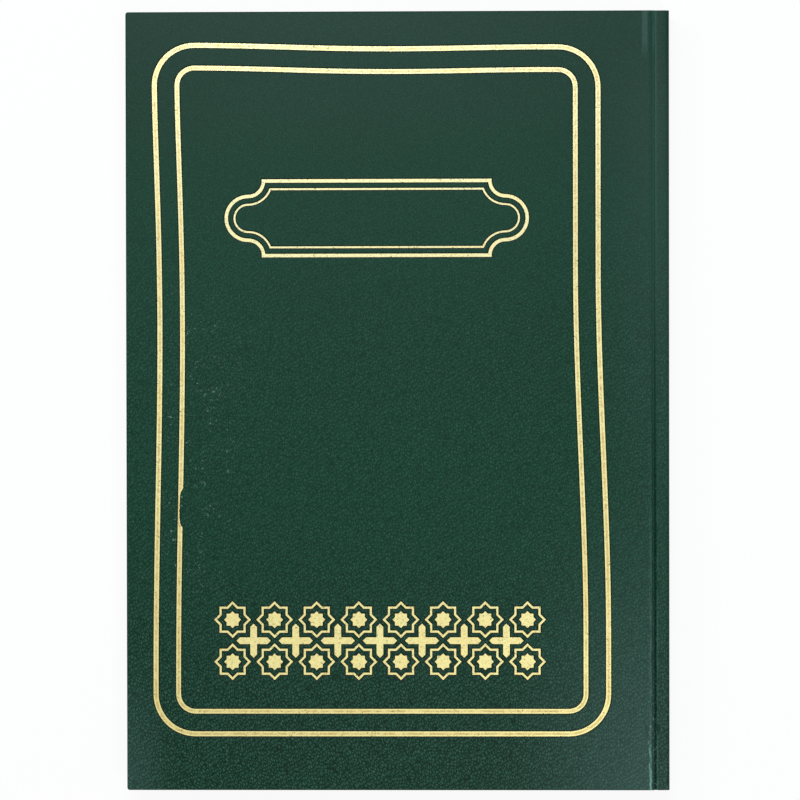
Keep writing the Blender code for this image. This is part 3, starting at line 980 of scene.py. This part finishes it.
def cover_edge(skin, side):
    """The rounded edges of a cover and the turn-ins behind them."""
    angles = [math.pi / 2 * i / EDGE_STEPS for i in range(EDGE_STEPS + 1)]
    out = [EDGE_ROUND * (1 - math.sin(a)) for a in angles]
    back = [EDGE_ROUND * (1 - math.cos(a)) for a in angles]
    profile = [(inset, FACE - drop) for inset, drop in zip(out, back)]
    profile += [(inset, TURN_IN_LEVEL + rise) for inset, rise in zip(back, out)]
    rings = []
    for inset, z in profile:
        loop = plan_loop(inset, PLAN_CORNER + EDGE_ROUND - inset)
        rings.append([skin.verts.new((x, y, height(side, z))) for x, y in loop])
    last = []
    for x, y in plan_loop(EDGE_ROUND, PLAN_CORNER):
        inner_x = min(max(x, FORE_X + TURN_IN), NEAR_X - JOINT_TURN_IN)
        inner_y = min(max(y, TURN_IN - HALF), HALF - TURN_IN)
        last.append(skin.verts.new((inner_x, inner_y, height(side, TURN_IN_LEVEL))))
    bridge(skin, rings + [last])


def cover_skin(name, side, material, areas=(), middles=()):
    """Leatherette over one board: its face, soft edges and turn-ins; and the mesh of the sunk foil."""
    face_z = height(side, FACE)
    sunk_z = height(side, FACE - FOIL_SINK)
    skin, foil = bmesh.new(), bmesh.new()
    cover_face(skin, foil, areas, middles, (face_z, sunk_z))
    cover_edge(skin, side)
    bmesh.ops.remove_doubles(skin, verts=skin.verts, dist=WELD)
    bmesh.ops.recalc_face_normals(skin, faces=skin.faces)
    made = piece(name, skin, [material], smooth=25)
    for flat in made.data.polygons:
        if flat.normal.z * side > 0.9 and side * (flat.center.z - sunk_z) > -SAME_POINT:
            flat.use_smooth = False
    # marks the foil's sunk rims for their painted shade
    pressed_shade = made.data.attributes.new("pressed_shade", "FLOAT", "POINT")
    for vertex in made.data.vertices:
        pressed_shade.data[vertex.index].value = float(abs(vertex.co.z - sunk_z) < SAME_POINT)
    for face in foil.faces:
        if face.normal.z < 0:
            face.normal_flip()
    return made, foil


# Joints and spine


def joint_line(side, y):
    """Middle line of the joint's leatherette at one place along it: board, groove, shoulder."""
    lift = (1 + math.sin(math.pi / 2 * y / HALF)) / 2
    start = (NEAR_X + JOINT_GAP, FACE - EDGE_ROUND - SKIN / 2)
    groove = (GROOVE_X, FACE - GROOVE_TAIL + (GROOVE_TAIL - GROOVE_HEAD) * lift - SKIN / 2)
    crest = (SHOULDER_X[0], SHOULDER - SKIN / 2)
    line = []
    steps = 8
    for i in range(steps):
        t = i / steps
        drop = 1 - math.cos(math.pi / 2 * t)
        line.append((start[0] + (groove[0] - start[0]) * t, start[1] + (groove[1] - start[1]) * drop))
    for i in range(steps + 1):
        t = i / steps
        rise = math.sin(math.pi / 2 * t)
        line.append((groove[0] + (crest[0] - groove[0]) * t, groove[1] + (crest[1] - groove[1]) * rise))
    return [(x, height(side, z)) for x, z in line]


def joint_skin(name, side, material):
    """The strip of leatherette between a cover and the spine."""
    rings = []
    for y in STATIONS:
        rings.append([(x, y, z) for x, z in ribbon(joint_line(side, y), JOINT_SKIN)])
    return piece(name, lofted(rings), [material], smooth=50)


def spine_corner(side):
    """Middle line of the spine's leatherette round one of its corners, from the shoulder outwards."""
    centre_x = SPINE_X - SKIN / 2 - SPINE_CORNER
    centre_z = height(side, SHOULDER - SKIN / 2 - SPINE_CORNER)
    return arc((centre_x, centre_z), SPINE_CORNER, side * 90, 0, 8)


def spine_line(side):
    """Middle line of the spine's leatherette from the shoulder to half way down the spine."""
    return [(x, height(side, SHOULDER - SKIN / 2)) for x in SHOULDER_X] + spine_corner(side)


def spine_cap(mesh, end):
    """The turn-in at the head or the tail, over the end of the spine strip."""
    inner = [(STRIP_X - CAP_OVERLAP, height(side, SHOULDER - SKIN / 2)) for side in (-1, 1)]
    outline = [inner[0]] + spine_corner(-1) + spine_corner(1)[::-1] + [inner[1]]
    rings = []
    for distance, shrink in CAP_RINGS:
        loop = grown(outline, -shrink) if shrink else outline
        rings.append([mesh.verts.new((x, end * (HALF - distance), z)) for x, z in loop])
    bridge(mesh, rings)
    mesh.faces.new(rings[-1])


def across_joint(made, body):
    """Bakes a piece's place into its mesh; both ways round of the cover's joint are treated alike."""
    if JOINTS[body]["axis"][1] > 0:
        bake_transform(made)
    else:
        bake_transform(made)


# Leaves and endpapers


def leaf_stack(name, node, materials, seed):
    """Leaves from the fore-edge to their fold, with extra columns in the gutter."""
    low, high = (corner.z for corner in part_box(node))
    fold = (high - low) / 2
    rng = random.Random(seed)
    edge = PAGE_X + rng.uniform(*FORE_UNEVEN)
    xs = [edge, edge + FORE_COLUMN, (edge + LEAF_START_X) / 2]
    xs += [LEAF_START_X - distance for distance in GUTTER_COLUMNS]
    bend = LEAF_AXIS_X - LEAF_START_X + 2 * BEND_MARGIN
    xs += [LEAF_START_X - BEND_MARGIN + bend * i / BEND_STEPS for i in range(BEND_STEPS + 1)]
    xs += [FOLD_X - FOLD_COLUMN, FOLD_X - fold]
    outline = [(x, low) for x in xs]
    outline += arc((FOLD_X - fold, (low + high) / 2), fold, -90, 90, 4)[1:-1]
    outline += [(x, high) for x in reversed(xs)]
    end = PAGE_HALF - rng.uniform(0.0, END_UNEVEN)
    mesh = extruded(outline, [-end, -end / 2, 0.0, end / 2, end])
    for face in mesh.faces:
        face.material_index = 0 if abs(face.normal.z) > 0.7 else 1
    return piece(name, mesh, materials, smooth=40)


def endpaper_hinge(name, side, material):
    """The strip of endpaper that crosses a cover's joint on the inside."""
    line = [(NEAR_X + x, INNER + z) for x, z in FLAP_START]
    start, end = FLAP_X
    line += [(start + (end - start) * i / FLAP_STEPS, INNER + FLAP_LEVEL) for i in range(FLAP_STEPS + 1)]
    outline = ribbon([(x, height(side, z)) for x, z in line], FLAP)
    return piece(name, extruded(outline, [-PAGE_HALF, 0.0, PAGE_HALF]), [material], smooth=50)


# Build


def build_covers(green, worn_and_painted_light_green):
    """Both covers' leatherette, and the foil on the front."""
    front_skin, foil_mesh = cover_skin("front_cover_skin", 1, worn_and_painted_light_green, *foil_design())
    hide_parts("front_leatherette")
    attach(front_skin, "front_cover")
    foil = piece("front_cover_foil", foil_mesh, [gold_foil()])
    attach(foil, "front_cover")
    back_skin, no_foil = cover_skin("back_cover_skin", -1, green)
    no_foil.free()
    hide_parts("back_leatherette")
    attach(back_skin, "back_cover")


def build_spine(green, worn_and_painted_light_green):
    """The strips in both joints, and the spine between them."""
    for words, side in SIDES:
        strip = joint_skin(f"{words}_joint_skin", side, worn_and_painted_light_green if side == 1 else green)
        across_joint(strip, f"{words}_cover")
    mesh = extruded(ribbon(spine_line(1) + spine_line(-1)[::-1], SKIN), STATIONS)
    spine_cap(mesh, 1)
    spine_cap(mesh, -1)
    spine = piece("spine_skin", mesh, [worn_and_painted_light_green], smooth=50)
    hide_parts("spine_leatherette")
    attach(spine, "text_block")


def build_sections():
    """The sections as leaves folded at the spine."""
    materials = [page_faces(), page_edges()]
    for number in range(1, SECTIONS + 1):
        node = f"section_{number:02d}"
        leaves = leaf_stack(f"{node}_leaves", node, materials, number)
        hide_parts(node, "sewn_folds")
        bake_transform(leaves)


def build_endpapers():
    """The flyleaves, and the endpapers' strips across the joints."""
    paper = endpaper("endpaper_sheet")
    for words, side in SIDES:
        node = f"{words}_flyleaf"
        sheet = leaf_stack(f"{node}_sheet", node, [paper, paper], FLYLEAF_SEED + side)
        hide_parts(node, f"{words}_endpaper_fold")
        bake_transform(sheet)
        flap = endpaper_hinge(f"{words}_endpaper_hinge", side, paper)
        across_joint(flap, f"{words}_cover")


def finish_solids():
    """Materials of the solids that are shown as they are."""
    threads = [f"sewing_thread_{number}" for number in range(1, THREADS + 1)]
    finishes = (
        (greyboard(), ["front_board", "back_board", "spine_board"]),
        (endpaper("endpaper_pasted", solid=True), ["front_pastedown", "back_pastedown"]),
        (cloth("mull_gauze", MULL_TINTS, MULL_WEAVE), ["mull"]),
        (kraft(), ["spine_lining"]),
        (cloth("band_cloth", BAND_TINTS, BAND_WEAVE), ["head_band", "tail_band"]),
        (cloth("thread_cotton", THREAD_TINTS, THREAD_WEAVE), threads),
    )
    for material, nodes in finishes:
        for node in nodes:
            data = frame["nodes"][node].data
            data.materials.clear()
            data.materials.append(material)


plain_green = leatherette("green_leatherette", False)
front_green = leatherette("green_leatherette_worn_painted_light", True)
build_covers(plain_green, front_green)
build_spine(plain_green, front_green)
build_sections()
build_endpapers()
finish_solids()

# Floor, light and camera


def background_rays(tree):
    """1 for rays that see the background: from the camera, from gloss and through clear pieces."""
    path = tree.nodes.new("ShaderNodeLightPath")
    total = path.outputs["Is Camera Ray"]
    for name in ("Is Glossy Ray", "Is Transmission Ray"):
        add = tree.nodes.new("ShaderNodeMath")
        add.operation = "MAXIMUM"
        tree.links.new(total, add.inputs[0])
        tree.links.new(path.outputs[name], add.inputs[1])
        total = add.outputs[0]
    return total


def floor_white():
    """The floor's material: pale, and shown nearly white, so that it still keeps a shadow."""
    white = bpy.data.materials.new("floor_white")
    white.use_nodes = True
    tree = white.node_tree
    plain = tree.nodes["Principled BSDF"]
    plain.inputs["Base Color"].default_value = FLOOR_TONE
    plain.inputs["Roughness"].default_value = 0.9
    glow = tree.nodes.new("ShaderNodeEmission")
    share = tree.nodes.new("ShaderNodeMath")
    share.operation = "MULTIPLY"
    share.inputs[1].default_value = FLOOR_GLOW
    mixed = tree.nodes.new("ShaderNodeMixShader")
    tree.links.new(background_rays(tree), share.inputs[0])
    tree.links.new(share.outputs[0], mixed.inputs["Fac"])
    tree.links.new(plain.outputs[0], mixed.inputs[1])
    tree.links.new(glow.outputs[0], mixed.inputs[2])
    tree.links.new(mixed.outputs[0], tree.nodes["Material Output"].inputs["Surface"])
    return white


def floor():
    """A plain pale floor under the book."""
    mesh = bmesh.new()
    bmesh.ops.create_grid(mesh, x_segments=1, y_segments=1, size=FLOOR_HALF)
    data = bpy.data.meshes.new("floor")
    mesh.to_mesh(data)
    mesh.free()
    data.materials.append(floor_white())
    made = bpy.data.objects.new("floor", data)
    bpy.context.scene.collection.objects.link(made)
    made.location.z = -FLOOR_DROP


def world():
    """A soft white studio all round, white where it is seen."""
    made = bpy.data.worlds.new("studio")
    bpy.context.scene.world = made
    made.use_nodes = True
    tree = made.node_tree
    sky = tree.nodes["Background"]
    sky.inputs["Color"].default_value = (1, 1, 1, 1)
    level = tree.nodes.new("ShaderNodeMapRange")
    level.inputs["To Min"].default_value = WORLD_LEVEL
    level.inputs["To Max"].default_value = 1.0
    tree.links.new(background_rays(tree), level.inputs["Value"])
    tree.links.new(level.outputs["Result"], sky.inputs["Strength"])


def lamp(name, place, aim, size, power, colour):
    """A rectangular lamp that points at its aim."""
    data = bpy.data.lights.new(name, "AREA")
    data.shape = "RECTANGLE"
    data.size, data.size_y = size
    data.energy = power
    data.color = colour
    made = bpy.data.objects.new(name, data)
    bpy.context.scene.collection.objects.link(made)
    made.location = place
    made.rotation_euler = (Vector(aim) - Vector(place)).to_track_quat("-Z", "Y").to_euler()


def camera():
    """Above the front cover, leaning a little to the spine and the head, at the photograph's scale."""
    data = bpy.data.cameras.new("camera")
    data.lens = LENS
    data.sensor_width = SENSOR
    made = bpy.data.objects.new("camera", data)
    bpy.context.scene.collection.objects.link(made)
    pixel = (SPINE_X - FORE_X) / BOOK_PX
    distance = FRAME_PX * pixel * LENS / SENSOR
    turned = Euler([math.radians(angle) for angle in CAMERA_TURN])
    x = (FORE_X + SPINE_X) / 2 + (FRAME_PX / 2 - CENTRE_PX[0]) * pixel
    y = (CENTRE_PX[1] - FRAME_PX / 2) * pixel
    made.location = Vector((x, y, TOP)) + turned.to_matrix() @ Vector((0, 0, distance))
    made.rotation_euler = turned
    bpy.context.scene.camera = made


floor()
world()
for lamp_name, lamp_values in LAMPS.items():
    lamp(lamp_name, *lamp_values)
camera()
bpy.context.scene.view_settings.view_transform = "Standard"
